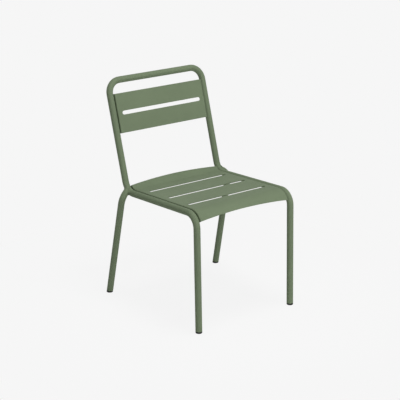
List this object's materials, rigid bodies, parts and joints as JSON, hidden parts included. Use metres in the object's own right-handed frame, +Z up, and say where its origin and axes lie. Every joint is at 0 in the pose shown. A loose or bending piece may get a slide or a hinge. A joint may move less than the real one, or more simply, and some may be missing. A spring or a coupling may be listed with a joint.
{
  "type": "stacking chair",
  "caption": "Armless outdoor stacking chair: bent round tube frame, splayed rear legs, slotted sheet seat with waterfall front, slotted sheet back, matt sage green coating.",
  "frame": {"origin": "on the floor under the middle of the chair's bounding box", "axes": "+Z up, the chair faces -Y, the sitter's left is +X"},
  "size_m": [0.5496, 0.5949, 0.84],
  "materials": {
    "tube_coating": "matt sage green powder coat on aluminium tube",
    "sheet_coating": "matt sage green powder coat on aluminium sheet",
    "weld_coating": "weld beads under the same powder coat",
    "glide_plastic": "moulded black plastic"
  },
  "bodies": {
    "root": {"frame_tube": "tube_coating", "rear_leg_left": "tube_coating", "rear_leg_right": "tube_coating", "seat_pan": "sheet_coating", "back_panel": "sheet_coating", "seat_bar_front": "tube_coating", "seat_bar_rear": "tube_coating", "rear_leg_weld_left": "weld_coating", "rear_leg_weld_right": "weld_coating", "seat_weld_left": "weld_coating", "seat_weld_right": "weld_coating", "back_panel_weld_left": "weld_coating", "back_panel_weld_right": "weld_coating", "seat_bar_weld_front": "weld_coating", "seat_bar_weld_rear": "weld_coating", "glide_front_left": "glide_plastic", "glide_front_right": "glide_plastic", "glide_rear_left": "glide_plastic", "glide_rear_right": "glide_plastic"}
  },
  "joints": []
}
